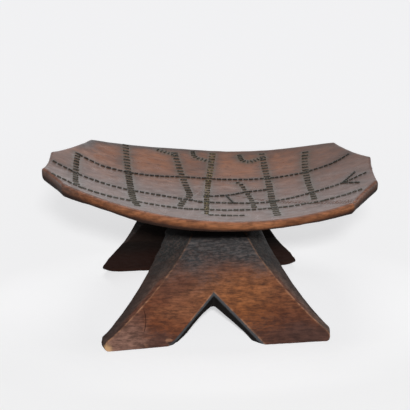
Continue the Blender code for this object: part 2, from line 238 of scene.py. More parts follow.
world = bpy.data.worlds.new("studio")
bpy.context.scene.world = world
world.use_nodes = True
world_tree = world.node_tree
background = world_tree.nodes["Background"]
background.inputs["Color"].default_value = BACKDROP_TONE
path = add_node(world_tree, "ShaderNodeLightPath")
way = add_node(world_tree, "ShaderNodeTexCoord").outputs["Generated"]
rise = add_node(world_tree, "ShaderNodeSeparateXYZ", {0: way}).outputs["Z"]
sheen = map_range(world_tree, rise, *BACKDROP_RISE, BACKDROP_LOW, BACKDROP_HIGH)
level = mix_number(world_tree, path.outputs["Is Glossy Ray"], BACKDROP_LIGHT, sheen)
level = mix_number(world_tree, path.outputs["Is Camera Ray"], level, BACKDROP_SEEN)
world_tree.links.new(level, background.inputs["Strength"])
print("backdrop seen at", BACKDROP_SEEN, "and lighting at", BACKDROP_LIGHT)


# %% [markdown]
# ## The carved block
#
# On the real stool the seat was hollowed with an adze and rubbed smooth by use. The solid has a groove along
# every row, to hold its wire, and the finished wood closes up round each stitch instead. So a copy of the
# solid loses its grooved top, and a clean top is grown from the rim's edge: the edge is extruded inwards,
# drawn in and laid on the dish, ring after ring. A voxel remesh would blur the carved edges. So the long
# edges are split and turned instead until the skin is even, and more finely along the arrises. Then the
# points are fitted where the carver strayed from the plain form, smoothed a little and given shallow
# tool marks.

# %% Copy the solid and open its top
SEAT_LOW_HEIGHT = 0.188
SEAT_LOW_X = 0.035
DISH_LENGTH_RADIUS = 0.642
DISH_DEPTH_RADIUS = 1.080
RIM_ROUNDING = 0.003
TOP_LAYER = 0.0045
MERGE_DISTANCE = 0.00001


def dish_height(x, y):
    """The height of the dished seat over a place, for numbers or arrays."""
    along = (x - SEAT_LOW_X) ** 2 / (2 * DISH_LENGTH_RADIUS)
    across = y ** 2 / (2 * DISH_DEPTH_RADIUS)
    return SEAT_LOW_HEIGHT + along + across


REAR_LIFT = 0.0038
REAR_LIFT_X = (0.06, -0.06)
REAR_RIGHT_LIFT = 0.0030
REAR_RIGHT_X = (0.10, 0.20)
REAR_LIFT_Y = (0.02, 0.15)
LEFT_END_LIFT = 0.0042
LEFT_END_X = (-0.17, -0.225)
LEFT_END_FRONT = (-0.05, 0.03)
LEFT_END_REAR = (0.16, 0.08)


def smooth_step(values, low, high):
    t = np.clip((values - low) / (high - low), 0.0, 1.0)
    return t * t * (3 - 2 * t)


def seat_height(x, y):
    """The height of the finished seat: the dish, with a rear edge that curls up, most at its left corner."""
    curl = REAR_LIFT * smooth_step(x, *REAR_LIFT_X) + REAR_RIGHT_LIFT * smooth_step(x, *REAR_RIGHT_X)
    corner = LEFT_END_LIFT * smooth_step(x, *LEFT_END_X)
    corner = corner * smooth_step(y, *LEFT_END_FRONT) * smooth_step(y, *LEFT_END_REAR)
    return dish_height(x, y) + curl * smooth_step(y, *REAR_LIFT_Y) + corner


def vertex_places(mesh):
    places = np.empty(len(mesh.vertices) * 3)
    mesh.vertices.foreach_get("co", places)
    return places.reshape(-1, 3)


def edit(piece):
    """Makes a piece the only selected one and opens it in edit mode."""
    bpy.ops.object.mode_set(mode="OBJECT")
    bpy.ops.object.select_all(action="DESELECT")
    bpy.context.view_layer.objects.active = piece
    piece.select_set(True)
    bpy.ops.object.mode_set(mode="EDIT")


body = bpy.data.objects.new("stool_block", frame["nodes"]["carved_body"].data.copy())
bpy.context.scene.collection.objects.link(body)
body.data.materials.clear()
edit(body)
bpy.ops.mesh.select_all(action="SELECT")
bpy.ops.mesh.remove_doubles(threshold=MERGE_DISTANCE)
shape = bmesh.from_edit_mesh(body.data)
for face in shape.faces:
    middle = face.calc_center_median()
    face.select_set(dish_height(middle.x, middle.y) - middle.z < TOP_LAYER)
bmesh.update_edit_mesh(body.data)
print("faces of the grooved top to remove:", sum(face.select for face in shape.faces))
bpy.ops.mesh.select_mode(type="FACE")
bpy.ops.mesh.delete(type="FACE")

# %% Grow a clean top from the rim's edge
ROUNDING_STEPS = 5
FRONT_ROUNDING = 0.0062
REAR_ROUNDING = 0.0030
ROUNDING_Y = (-0.05, 0.08)
RIM_DRAW = 0.974
STRAY_REACH = 0.005
TOP_RING_SHARES = (0.95, 0.88, 0.80, 0.72, 0.64, 0.56, 0.48, 0.40, 0.32, 0.24, 0.16, 0.08)


def lay_selected_on_seat(drop):
    """Puts the selected points a share of the rim's rounding below the seat. The front is the rounder."""
    shape = bmesh.from_edit_mesh(body.data)
    for vertex in shape.verts:
        if vertex.select:
            x, y, z = vertex.co
            rounding = FRONT_ROUNDING + (REAR_ROUNDING - FRONT_ROUNDING) * smooth_step(y, *ROUNDING_Y)
            vertex.co.z = seat_height(x, y) - drop * rounding
    bmesh.update_edit_mesh(body.data)


def grow_ring(scale, drop):
    bpy.ops.mesh.extrude_edges_move()
    bpy.ops.transform.resize(value=(scale, scale, 1.0), center_override=(0.0, 0.0, 0.0))
    lay_selected_on_seat(drop)


bpy.ops.mesh.select_mode(type="EDGE")
bpy.ops.mesh.select_all(action="DESELECT")
bpy.ops.mesh.select_non_manifold(extend=False, use_wire=False, use_boundary=True, use_multi_face=False,
                                 use_non_contiguous=False, use_verts=False)
bpy.ops.mesh.remove_doubles(threshold=STRAY_REACH)
lay_selected_on_seat(1.0)
last_share = 1.0
for step in range(1, ROUNDING_STEPS + 1):
    turn = math.pi / 2 * step / ROUNDING_STEPS
    ring_share = 1 - (1 - RIM_DRAW) * (1 - math.cos(turn))
    grow_ring(ring_share / last_share, 1 - math.sin(turn))
    last_share = ring_share
for ring_share in TOP_RING_SHARES:
    grow_ring(ring_share / last_share, 0.0)
    last_share = ring_share
bpy.ops.mesh.merge(type="CENTER")
lay_selected_on_seat(0.0)
bpy.ops.mesh.select_all(action="SELECT")
bpy.ops.mesh.normals_make_consistent(inside=False)
bpy.ops.object.mode_set(mode="OBJECT")
print("block closed again with", len(body.data.polygons), "faces")

# %% Bevel the front of each notch
BASE_Y = -0.001
FOOT_HALF_SPREAD = 0.153
FACE_LEAN = math.radians(38.0)
NOTCH_HALF_WIDTH = 0.067
NOTCH_HEIGHT = 0.061
NOTCH_X = {-1: -0.011, 1: -0.013}
NOTCH_BEVEL = 0.0026
ON_LINE = 0.0004


def notch_edge_distance(place, side):
    """How far a place lies from the V that a notch cuts in its leg's outer face."""
    face = side * (FOOT_HALF_SPREAD - place.z * math.tan(FACE_LEAN)) + BASE_Y
    half_width = NOTCH_HALF_WIDTH * (1 - place.z / NOTCH_HEIGHT)
    return max(abs(place.y - face), abs(abs(place.x - NOTCH_X[side]) - half_width))


def select_edges(piece, is_wanted):
    """Selects the edges that pass a test and says how many there are."""
    shape = bmesh.from_edit_mesh(piece.data)
    found = 0
    for edge in shape.edges:
        wanted = is_wanted(edge)
        edge.select_set(wanted)
        found += wanted
    bmesh.update_edit_mesh(piece.data)
    return found


def is_notch_edge(edge):
    return any(all(notch_edge_distance(v.co, side) < ON_LINE for v in edge.verts) for side in NOTCH_X)


edit(body)
bpy.ops.mesh.select_mode(type="EDGE")
bpy.ops.mesh.select_all(action="DESELECT")
print("notch edges to bevel:", select_edges(body, is_notch_edge))
bpy.ops.mesh.bevel(offset=NOTCH_BEVEL, segments=1, clamp_overlap=False)

# %% Round the lower edge of the rim
RIM_THICKNESS = 0.015
LOWER_BEVEL = 0.0028
ON_RING = 0.000005


def is_lower_rim_edge(edge):
    lower = RIM_THICKNESS - RIM_ROUNDING
    return all(abs(dish_height(v.co.x, v.co.y) - v.co.z - lower) < ON_RING for v in edge.verts)


bpy.ops.mesh.select_all(action="DESELECT")
print("rim edges to bevel:", select_edges(body, is_lower_rim_edge))
bpy.ops.mesh.bevel(offset=LOWER_BEVEL, segments=2)
bpy.ops.object.mode_set(mode="OBJECT")

# %% Refine the skin, finely along the arrises
LONGEST_EDGE = 0.0080
LONGEST_ON_SEAT = 0.0042
LONGEST_AT_ARRIS = 0.0022
SHORTEST_EDGE = 0.0006
FLAT_ANGLE = math.radians(6.0)
ARRIS_ANGLE = math.radians(32.0)
MOST_ROUNDS = 12
ARRIS_ROUNDS = 2
WORN_ANGLE = math.radians(16.0)
WORN_BELOW = 0.135
OUTER_FACE = 0.95


def is_long(edge):
    """Whether an edge is longer than its place allows. The seat is finer, for the dirt along its rows."""
    place = edge.verts[0].co
    on_top = place.z > dish_height(place.x, place.y) - RIM_ROUNDING
    return edge.calc_length() > (LONGEST_ON_SEAT if on_top else LONGEST_EDGE)


def squareness(normal_y, normal_z):
    """How squarely a face looks the way that the legs' leaning outer faces look, for numbers or arrays."""
    return abs(normal_y) * math.cos(FACE_LEAN) + normal_z * math.sin(FACE_LEAN)


def is_worn_arris(edge):
    """Whether an edge stands out beside an outer face of the legs, where hands and feet rub it."""
    if edge.calc_face_angle_signed(0.0) < WORN_ANGLE or edge.verts[0].co.z > WORN_BELOW:
        return False
    turned = [squareness(face.normal.y, face.normal.z) for face in edge.link_faces]
    return max(turned) > OUTER_FACE and all(face.normal.z > 0.0 for face in edge.link_faces)


def face_count(piece):
    return len(bmesh.from_edit_mesh(piece.data).faces)


def square_up_triangles():
    """Splits every face into triangles and turns edges inside flat places until they are well shaped."""
    bpy.ops.mesh.select_all(action="SELECT")
    bpy.ops.mesh.quads_convert_to_tris(quad_method="BEAUTY", ngon_method="BEAUTY")
    bpy.ops.mesh.beautify_fill(angle_limit=FLAT_ANGLE)


edit(body)
bpy.ops.mesh.select_mode(type="EDGE")
bpy.ops.mesh.select_all(action="SELECT")
bpy.ops.mesh.remove_doubles(threshold=SHORTEST_EDGE)
square_up_triangles()
for step in range(MOST_ROUNDS):
    if select_edges(body, is_long) == 0:
        break
    bpy.ops.mesh.subdivide(number_cuts=1)
    square_up_triangles()
print("even skin:", face_count(body), "triangles")
for step in range(ARRIS_ROUNDS):
    bpy.ops.mesh.select_all(action="DESELECT")
    bpy.ops.mesh.edges_select_sharp(sharpness=ARRIS_ANGLE)
    arris_length = sum(edge.calc_length() for edge in bmesh.from_edit_mesh(body.data).edges if edge.select)
    bpy.ops.mesh.select_more()
    select_edges(body, lambda edge: edge.select and edge.calc_length() > LONGEST_AT_ARRIS)
    bpy.ops.mesh.subdivide(number_cuts=1)
    square_up_triangles()
    print("arrises of", round(arris_length, 2), "m refined:", face_count(body), "triangles")
bpy.ops.object.mode_set(mode="OBJECT")
print("skin refined to", len(body.data.polygons), "triangles")

# %% Fit the feet, the notch and the rim
TOE_BEYOND = 0.15
TOE_HEIGHT = 0.016
TOE_GROWTH = {-1: 0.0054, 1: 0.0028}
REAR_TOE_HEIGHTS = (0.0, 0.001, 0.002, 0.004, 0.008, 0.012, 0.016, 0.020)
REAR_TOE_CUT = (0.0190, 0.0150, 0.0130, 0.0098, 0.0058, 0.0028, 0.0008, 0.0)
REAR_SOLE_GROWTH = 0.0024
REAR_LEG_HEIGHTS = (0.0, 0.012, 0.045, 0.080, 0.115, 0.150)
REAR_LEG_GROWTH = {
    -1: (0.0, 0.0032, 0.0058, 0.0026, 0.0, 0.0),
    1: (0.0, 0.0036, 0.0056, -0.0008, -0.0050, 0.0),
}
LEG_SIDE = (0.02, 0.05)
FRONT_HALF = (-0.02, -0.06)
REAR_HALF = (0.02, 0.06)
FOOT_BEYOND = 0.09
SOLE_HEIGHT = 0.010
SOLE_PLACES = (-0.19, -0.15, -0.08, 0.06, 0.17)
SOLE_GROWTH = (0.0040, 0.0026, -0.0044, 0.0044, 0.0012)
RIDGE_SLOPE = math.radians(71.0)
NOTCH_WIDENING = 0.0022
NOTCH_EASING = {-1: 0.0052, 1: 0.0024}
NOTCH_WALL_REACH = (0.0015, 0.0070)
NOTCH_INSIDE = (0.002, 0.020)
RIM_LOWER_EDGE = (0.0060, 0.0100, 0.0200, 0.0260)
RIM_PLACES = (-0.25, -0.215, -0.19, -0.16, -0.12, -0.06, 0.0, 0.05, 0.11, 0.17, 0.21)
RIM_GROWTH = (0.0052, 0.0040, 0.0010, 0.0006, 0.0028, 0.0024, 0.0, -0.0008, -0.0012, 0.0016, 0.0040)
RIM_FRONT_HALF = (0.05, -0.05)
RIGHT_SIDE_GROWTH = 0.0016
RIGHT_SIDE_X = (0.04, 0.07)
RIGHT_SIDE_Z = (0.110, 0.080)


def notch_wall(x, y, wall):
    """The height of a wall of the front notch over a place, and how far inside the leg's face that is."""
    face_run = NOTCH_HEIGHT * math.tan(FACE_LEAN)
    apex_y = BASE_Y - FOOT_HALF_SPREAD + face_run
    run = wall * (x - NOTCH_X[-1]) / NOTCH_HALF_WIDTH
    inward = (y - apex_y + face_run * run) / math.cos(RIDGE_SLOPE)
    drop = math.sin(RIDGE_SLOPE) * inward * (1 - run if wall < 0 else 1.0)
    return np.where(run > 0, NOTCH_HEIGHT * (1 - run) - drop, np.inf), inward


def fitted(x, y, z):
    """Points of the block moved the few millimetres that the carver's hand strayed from the plain form."""
    side = np.sign(x)
    at_front = smooth_step(y, *FRONT_HALF)
    at_rear = smooth_step(y, *REAR_HALF)
    outward = smooth_step(np.abs(x), FOOT_BEYOND, TOE_BEYOND)
    toe = (1 - smooth_step(z, 0.0, TOE_HEIGHT)) * outward
    shift_x = side * toe * at_front * np.where(side < 0, TOE_GROWTH[-1], TOE_GROWTH[1])
    shift_x -= side * at_rear * outward * np.interp(z, REAR_TOE_HEIGHTS, REAR_TOE_CUT)
    left_growth, right_growth = (np.interp(z, REAR_LEG_HEIGHTS, REAR_LEG_GROWTH[way]) for way in (-1, 1))
    rear_growth = np.where(side < 0, left_growth, right_growth)
    shift_x += side * at_rear * rear_growth * smooth_step(np.abs(x), *LEG_SIDE)
    shift_x += RIGHT_SIDE_GROWTH * at_front * smooth_step(x, *RIGHT_SIDE_X) * smooth_step(z, *RIGHT_SIDE_Z)
    rise = np.clip(z / NOTCH_HEIGHT, 0.0, 1.0)
    for wall in (-1, 1):
        height, inward = notch_wall(x, y, wall)
        on_wall = (1 - smooth_step(np.abs(z - height), *NOTCH_WALL_REACH)) * at_front * (z < NOTCH_HEIGHT)
        easing = NOTCH_EASING[wall] * np.sin(math.pi * np.sqrt(rise))
        shift_x += wall * easing * smooth_step(inward, *NOTCH_INSIDE) * on_wall
        if wall < 0:
            shift_x -= NOTCH_WIDENING * (1 - rise) * on_wall
    sole = 1 - smooth_step(z, 0.0, SOLE_HEIGHT)
    shift_y = -sole * (at_front * np.interp(x, SOLE_PLACES, SOLE_GROWTH) + at_rear * REAR_SOLE_GROWTH)
    fall = dish_height(x, y) - z
    start, full, fading, end = RIM_LOWER_EDGE
    lower_edge = smooth_step(fall, start, full) * (1 - smooth_step(fall, fading, end))
    heavy = np.interp(x, RIM_PLACES, RIM_GROWTH) * smooth_step(y, *RIM_FRONT_HALF)
    return np.column_stack((x + shift_x, y + shift_y, z - lower_edge * heavy))


plain = vertex_places(body.data)
placed = fitted(*plain.T)
body.data.vertices.foreach_set("co", placed.ravel())
body.data.update()
print("block fitted by at most", round(np.abs(placed - plain).max() * 1000, 1), "mm")

shape = bmesh.new()
shape.from_mesh(body.data)
arris_ends = [tuple(tuple(vertex.co) for vertex in edge.verts) for edge in shape.edges if is_worn_arris(edge)]
shape.free()
print("edges on worn arrises:", len(arris_ends))

# %% Wear the edges round and leave tool marks
SOFTEN_ROUNDS = 3
SOFTEN_SHARE = 0.5
TOOL_MARK_SIZE = 0.022
TOOL_MARK_DEPTH = 0.0007
TOOL_MARK_LEVEL = 0.8


def apply_modifier(piece, kind, **settings):
    bpy.ops.object.select_all(action="DESELECT")
    bpy.context.view_layer.objects.active = piece
    piece.select_set(True)
    modifier = piece.modifiers.new(kind.lower(), kind)
    for name, value in settings.items():
        setattr(modifier, name, value)
    bpy.ops.object.modifier_apply(modifier=modifier.name)


tool_marks = bpy.data.textures.new("tool_marks", "CLOUDS")
tool_marks.noise_scale = TOOL_MARK_SIZE
tool_marks.noise_depth = 1
apply_modifier(body, "SMOOTH", factor=SOFTEN_SHARE, iterations=SOFTEN_ROUNDS)
apply_modifier(body, "DISPLACE", texture=tool_marks, texture_coords="LOCAL", strength=TOOL_MARK_DEPTH,
               mid_level=TOOL_MARK_LEVEL)
bpy.ops.object.shade_smooth()
softened = vertex_places(body.data)
softened[:, 2] = np.maximum(softened[:, 2], 0.0)
body.data.vertices.foreach_set("co", softened.ravel())
body.data.update()
print("block skin:", len(body.data.polygons), "faces")


# %% [markdown]
# ## The stitches
#
# Each stitch is a short length of wire whose ends are driven into the wood. One staple is modelled from a
# cylinder: its two end faces are extruded outwards and down, as if bent over pliers. The solids' wires say
# which way every row runs, since each stitch stands up from the seat between two dips. The rows are spaced
# anew along those routes, and the running ones are carried on to the rows they meet. Ladders get rungs a
# little shorter than the wire's, and the zigzag rows short rungs. The staple is copied to each place, turned
# along its stitch and tilted with the dish. A little seeded scatter keeps them hand-set.

# %% Model one staple
STAPLE_LENGTH = 0.0066
STAPLE_RADIUS = 0.00135
STAPLE_SIDES = 8
SHOULDER = 0.0007
LEG_DROP = 0.0022
SHOULDER_TAPER = 0.9
LEG_TAPER = 0.6
END_FACING = 0.9


def select_end(piece, direction):
    """Selects only the end cap that faces along X in the given direction."""
    shape = bmesh.from_edit_mesh(piece.data)
    for face in shape.faces:
        face.select_set(face.normal.x * direction > END_FACING)
    shape.select_flush_mode()
    bmesh.update_edit_mesh(piece.data)


bpy.ops.object.select_all(action="DESELECT")
bpy.ops.mesh.primitive_cylinder_add(vertices=STAPLE_SIDES, radius=STAPLE_RADIUS, depth=STAPLE_LENGTH,
                                    rotation=(0.0, math.pi / 2, 0.0))
staple = bpy.context.object
staple.name = "staple_pattern"
bpy.ops.object.transform_apply(location=False, rotation=True, scale=False)
edit(staple)
bpy.ops.mesh.select_mode(type="FACE")
for direction in (-1, 1):
    select_end(staple, direction)
    bends = ((SHOULDER, SHOULDER, SHOULDER_TAPER), (SHOULDER / 2, LEG_DROP, LEG_TAPER))
    for outward, drop, taper in bends:
        move = {"value": (direction * outward, 0.0, -drop)}
        bpy.ops.mesh.extrude_region_move(TRANSFORM_OT_translate=move)
        bpy.ops.transform.resize(value=(1.0, taper, taper))
bpy.ops.mesh.select_all(action="SELECT")
bpy.ops.mesh.normals_make_consistent(inside=False)
bpy.ops.object.mode_set(mode="OBJECT")
bpy.ops.object.shade_smooth()
staple_mesh = staple.data.copy()
bpy.data.objects.remove(staple)
print("one staple has", len(staple_mesh.polygons), "faces")

# %% Find where every stitch lies
WIRE_NODES = sorted(name for name in frame["nodes"] if name != "carved_body")
LADDERS = [name for name in WIRE_NODES if name.startswith("cross_row")]
ZIGZAGS = ["branch_row_left", "hook_row_left", "hook_row_right"]
RUNG_ROWS = LADDERS + ZIGZAGS


def stitches_of(node):
    """The middle, way and length in plan of each stitch of a wire: its islands that stand above the seat."""
    shape = bmesh.new()
    shape.from_mesh(frame["nodes"][node].data)
    bmesh.ops.remove_doubles(shape, verts=shape.verts, dist=MERGE_DISTANCE)
    raised = {v for v in shape.verts if v.co.z > dish_height(v.co.x, v.co.y)}
    found = []
    while raised:
        island = [raised.pop()]
        for vertex in island:
            for edge in vertex.link_edges:
                other = edge.other_vert(vertex)
                if other in raised:
                    raised.remove(other)
                    island.append(other)
        plan = np.array([v.co.xy for v in island])
        middle = plan.mean(axis=0)
        way = np.linalg.svd(plan - middle)[2][0]
        reach = (plan - middle) @ way
        found.append((middle, way, reach.max() - reach.min()))
    shape.free()
    return sorted(found, key=lambda stitch: (round(stitch[0][0], 5), round(stitch[0][1], 5)))


rows = {node: stitches_of(node) for node in WIRE_NODES}
print("stitches found:", sum(len(row) for row in rows.values()), "in", len(rows), "rows")

# %% Carry the running rows on to the rows they meet, and space their stitches
PITCH = 0.0085
STITCH_GAP = 0.0029
RUNG_PITCH = 0.0118
ZIGZAG_PITCH = 0.0070
ZIGZAG_LENGTHS = (0.0062, 0.0070)
LADDER_SHARES = (0.88, 0.88)
OWN_LADDER_SHARES = {
    "cross_row_left_end": (0.74, 0.74),
    "cross_row_mid_left": (0.92, 0.80),
    "cross_row_mid_left_tail": (0.76, 0.76),
    "cross_row_centre": (0.94, 0.60),
    "cross_row_mid_right": (0.56, 0.66),
    "cross_row_right_end": (0.94, 0.74),
}
CLEAR_OF_OTHERS = 0.0020
LOOK_AHEAD = 0.024
MEETING_REACH = 0.009
SAMPLE_STEP = 0.0008
SAMPLES_PER_STITCH = 9


def samples_of(stitches):
    """Points along some stitches, in plan."""
    return np.array([middle + way * offset for middle, way, length in stitches
                     for offset in np.linspace(-length / 2, length / 2, SAMPLES_PER_STITCH)])


def in_order(stitches):
    """The stitches of a row from one end to the other, each next to the one before."""
    middles = np.array([stitch[0] for stitch in stitches])
    left = list(stitches)
    here = middles[np.argmax(((middles - middles.mean(axis=0)) ** 2).sum(axis=1))]
    chain = []
    while left:
        nearest = min(range(len(left)), key=lambda i: np.linalg.norm(left[i][0] - here))
        here = left[nearest][0]
        chain.append(left.pop(nearest))
    return chain


def route_of(stitches):
    """The line that a row follows: the two ends of every stitch, in order."""
    chain = in_order(stitches)
    route = []
    for index, (middle, way, length) in enumerate(chain):
        ends = [middle - way * length / 2, middle + way * length / 2]
        if len(chain) > 1:
            ahead = chain[index + 1][0] - middle if index + 1 < len(chain) else middle - chain[index - 1][0]
            ends.sort(key=lambda end: end @ ahead)
        route.extend(ends)
    return route


def room_ahead(end, before, others):
    """Where a row's end comes to when it runs on to the next row across its path, if there is one."""
    way = (end - before) / np.linalg.norm(end - before)
    steps = np.arange(0.0, LOOK_AHEAD, SAMPLE_STEP)
    gaps = [np.sqrt(((others - end - way * step) ** 2).sum(axis=1).min()) for step in steps]
    if min(gaps) > MEETING_REACH:
        return end
    blocked = [step for step, gap in zip(steps, gaps) if gap < CLEAR_OF_OTHERS]
    return end + way * (blocked[0] if blocked else steps[int(np.argmin(gaps))])


def measured(route):
    """A route's points as an array, and how far along the route each of them lies."""
    points = np.array(route)
    return points, np.concatenate(([0.0], np.cumsum(np.linalg.norm(np.diff(points, axis=0), axis=1))))


def point_along(points, travelled, reach):
    return np.array([np.interp(reach, travelled, points[:, axis]) for axis in (0, 1)])


def spaced_stitches(route):
    """Stitches of one length, evenly spaced along a route."""
    points, travelled = measured(route)
    count = max(1, round((travelled[-1] + STITCH_GAP) / PITCH))
    pitch = (travelled[-1] + STITCH_GAP) / count
    stitches = []
    for index in range(count):
        ends = [point_along(points, travelled, pitch * index + reach) for reach in (0.0, pitch - STITCH_GAP)]
        length = np.linalg.norm(ends[1] - ends[0])
        stitches.append(((ends[0] + ends[1]) / 2, (ends[1] - ends[0]) / length, length))
    return stitches


def spaced_rungs(route, pitch, rear_length, front_length):
    """Rungs evenly spaced along a route and square to it, with lengths that change from rear to front."""
    points, travelled = measured(route)
    depths = (points[:, 1].min(), points[:, 1].max())
    spaced = []
    for reach in np.linspace(0.0, travelled[-1], round(travelled[-1] / pitch) + 1):
        here, back, on = (point_along(points, travelled, reach + step)
                          for step in (0.0, -pitch / 2, pitch / 2))
        along = (on - back) / np.linalg.norm(on - back)
        length = np.interp(here[1], depths, (front_length, rear_length))
        spaced.append((here, np.array((-along[1], along[0])), length))
    return spaced


first_count = sum(len(row) for row in rows.values())
for node in LADDERS:
    middles = [rung[0] for rung in in_order(rows[node])]
    length = np.mean([rung[2] for rung in rows[node]])
    rear_share, front_share = OWN_LADDER_SHARES.get(node, LADDER_SHARES)
    rows[node] = spaced_rungs(middles, RUNG_PITCH, rear_share * length, front_share * length)
for node in WIRE_NODES:
    if node not in LADDERS:
        others = samples_of([stitch for other in WIRE_NODES if other != node for stitch in rows[other]])
        route = route_of(rows[node])
        route = [room_ahead(route[0], route[1], others)] + route + [room_ahead(route[-1], route[-2], others)]
        if node in ZIGZAGS:
            rows[node] = spaced_rungs(route, ZIGZAG_PITCH, *ZIGZAG_LENGTHS)
        else:
            rows[node] = spaced_stitches(route)
print("stitches:", first_count, "in the wires,", sum(len(row) for row in rows.values()), "set")

# %% Set the staples row by row
RISE = 0.0003
RUNG_THINNESS = 0.90
FRONT_THINNESS = 0.76
THINNING_PLACES = (-0.13, 0.0)
TURN_SCATTER = math.radians(5.0)
LENGTH_SCATTER = 0.08
RISE_SCATTER = 0.00025
SCATTER_SEED = 11

chance = random.Random(SCATTER_SEED)


def staple_matrix(middle, way, length, thickness):
    """Where one staple goes: along its stitch, tilted with the dish, scaled to the stitch's length."""
    x, y = middle
    slope_x = (x - SEAT_LOW_X) / DISH_LENGTH_RADIUS
    slope_y = y / DISH_DEPTH_RADIUS
    normal = Vector((-slope_x, -slope_y, 1.0)).normalized()
    turn = Matrix.Rotation(chance.uniform(-TURN_SCATTER, TURN_SCATTER), 3, "Z")
    along = turn @ Vector((way[0], way[1], 0.0))
    along = (along - normal * along.dot(normal)).normalized()
    across = normal.cross(along)
    stretch = length / STAPLE_LENGTH * chance.uniform(1 - LENGTH_SCATTER, 1 + LENGTH_SCATTER)
    rise = RISE + chance.uniform(-RISE_SCATTER, RISE_SCATTER)
    place = Vector((x, y, seat_height(x, y))) + normal * rise
    columns = Matrix((along * stretch, across * thickness, normal * thickness)).transposed()
    return Matrix.Translation(place) @ columns.to_4x4()


def set_row(node, stitches):
    shape = bmesh.new()
    thickness = RUNG_THINNESS if node in RUNG_ROWS else 1.0
    for middle, way, length in stitches:
        thinness = np.interp(middle[1], THINNING_PLACES, (FRONT_THINNESS, 1.0))
        copy = staple_mesh.copy()
        copy.transform(staple_matrix(middle, way, length, thickness * thinness))
        shape.from_mesh(copy)
        bpy.data.meshes.remove(copy)
    mesh = bpy.data.meshes.new(node + "_stitches")
    shape.to_mesh(mesh)
    shape.free()
    row = bpy.data.objects.new(node + "_stitches", mesh)
    bpy.context.scene.collection.objects.link(row)
    return row


row_pieces = {node: set_row(node, stitches) for node, stitches in rows.items()}
print("rows set:", len(row_pieces))


# %% [markdown]
# ## What the wood remembers, and where shade is painted
#
# Old wood shows where it was handled and where dirt settled, and some marks here carry painted shade and
# sheen.
# A few numbers are worked out at each point of the skin and kept with the mesh, for the finishes to read:
# wear on outward edges and on the toes, dirt along the stitched rows, painted shade in hollows and on what
# faces down, a painted grey sheen on the notches' bevels and painted shade on their dark walls, and the adzed
# sides of the legs. Wear comes from the distance to the arrises beside the legs' outer faces, and hollows
# from how far a point lies below its neighbours.

# %% Read the skin and find its edges
HOLLOW_SPREAD = 2
ARRIS_SAMPLE = 0.0008
ARRIS_WIDTH = (0.0003, 0.0020)
HOLLOW_DEPTH = (0.04, 0.14)


def neighbour_mean(values, edges, counts):
    total = np.zeros_like(values)
    np.add.at(total, edges[:, 0], values[edges[:, 1]])
    np.add.at(total, edges[:, 1], values[edges[:, 0]])
    return total / counts.reshape(-1, *[1] * (values.ndim - 1))


def keep_attribute(piece, name, values):
    layer = piece.data.attributes.new(name, "FLOAT", "POINT")
    layer.data.foreach_set("value", values.astype(np.float32))


def distance_to(samples):
    """How far each point of the skin lies from the nearest of some sample points."""
    tree = KDTree(len(samples))
    for index, sample in enumerate(samples):
        tree.insert(sample, index)
    tree.balance()
    return np.array([tree.find(place)[2] for place in places])


places = vertex_places(body.data)
normals = np.empty(len(places) * 3)
body.data.vertices.foreach_get("normal", normals)
normals = normals.reshape(-1, 3)
edges = np.empty(len(body.data.edges) * 2, dtype=int)
body.data.edges.foreach_get("vertices", edges)
edges = edges.reshape(-1, 2)
counts = np.bincount(edges.ravel(), minlength=len(places)).astype(float)
lengths = np.linalg.norm(places[edges[:, 0]] - places[edges[:, 1]], axis=1)
mean_edge = sum(np.bincount(edges[:, end], lengths, len(places)) for end in (0, 1)) / counts
bulge = ((places - neighbour_mean(places, edges, counts)) * normals).sum(axis=1) / mean_edge
for step in range(HOLLOW_SPREAD):
    bulge = (bulge + neighbour_mean(bulge, edges, counts)) / 2
# Hollows are painted darker in the legs' finish, as shade in the creases.
keep_attribute(body, "hollow", smooth_step(-bulge, *HOLLOW_DEPTH))
fall = seat_height(places[:, 0], places[:, 1]) - places[:, 2]
keep_attribute(body, "fall", fall)

arris_samples = []
for start, end in arris_ends:
    start, end = Vector(start), Vector(end)
    pieces = max(1, math.ceil((end - start).length / ARRIS_SAMPLE))
    arris_samples += [start.lerp(end, i / pieces) for i in range(pieces + 1)]
off_arris = distance_to(arris_samples)
keep_attribute(body, "wear", 1 - smooth_step(off_arris, *ARRIS_WIDTH))
keep_attribute(body, "off_arris", off_arris)
print("arris samples:", len(arris_samples))

# %% Mark the notches, sides, toes and what faces down
TOE_REACH = 0.0135
FRONT_LEFT_TOE = np.array([-0.1755, -0.1565, 0.0015])
OTHER_TOES = np.array([(0.176, -0.140, 0.008), (-0.195, 0.140, 0.008), (0.171, 0.140, 0.008)])
OTHER_TOE_WEAR = 0.35
BEVEL_EDGE = (-1.45 * NOTCH_BEVEL, -1.15 * NOTCH_BEVEL)
WALL_START = (0.65 * NOTCH_BEVEL, 1.1 * NOTCH_BEVEL)
ADZED_TURN = (0.90, 0.965)
ADZED_TOP = (0.150, 0.165)
DOWNWARD = (-0.05, 0.25)

x, y, z = plain.T
notch_bevel_sheen = np.zeros(len(places))
notch_wall_shade = np.zeros(len(places))
for side, notch_x in NOTCH_X.items():
    face_y = side * (FOOT_HALF_SPREAD - z * math.tan(FACE_LEAN)) + BASE_Y
    depth = (face_y - y) * side * math.cos(FACE_LEAN)
    inside = NOTCH_HALF_WIDTH * (1 - z / NOTCH_HEIGHT) - np.abs(x - notch_x)
    on_leg = (y - BASE_Y) * side > 0.0
    band = smooth_step(inside, *BEVEL_EDGE) * on_leg
    notch_bevel_sheen = np.maximum(notch_bevel_sheen, band)
    notch_wall_shade = np.maximum(notch_wall_shade, band * smooth_step(depth, *WALL_START))
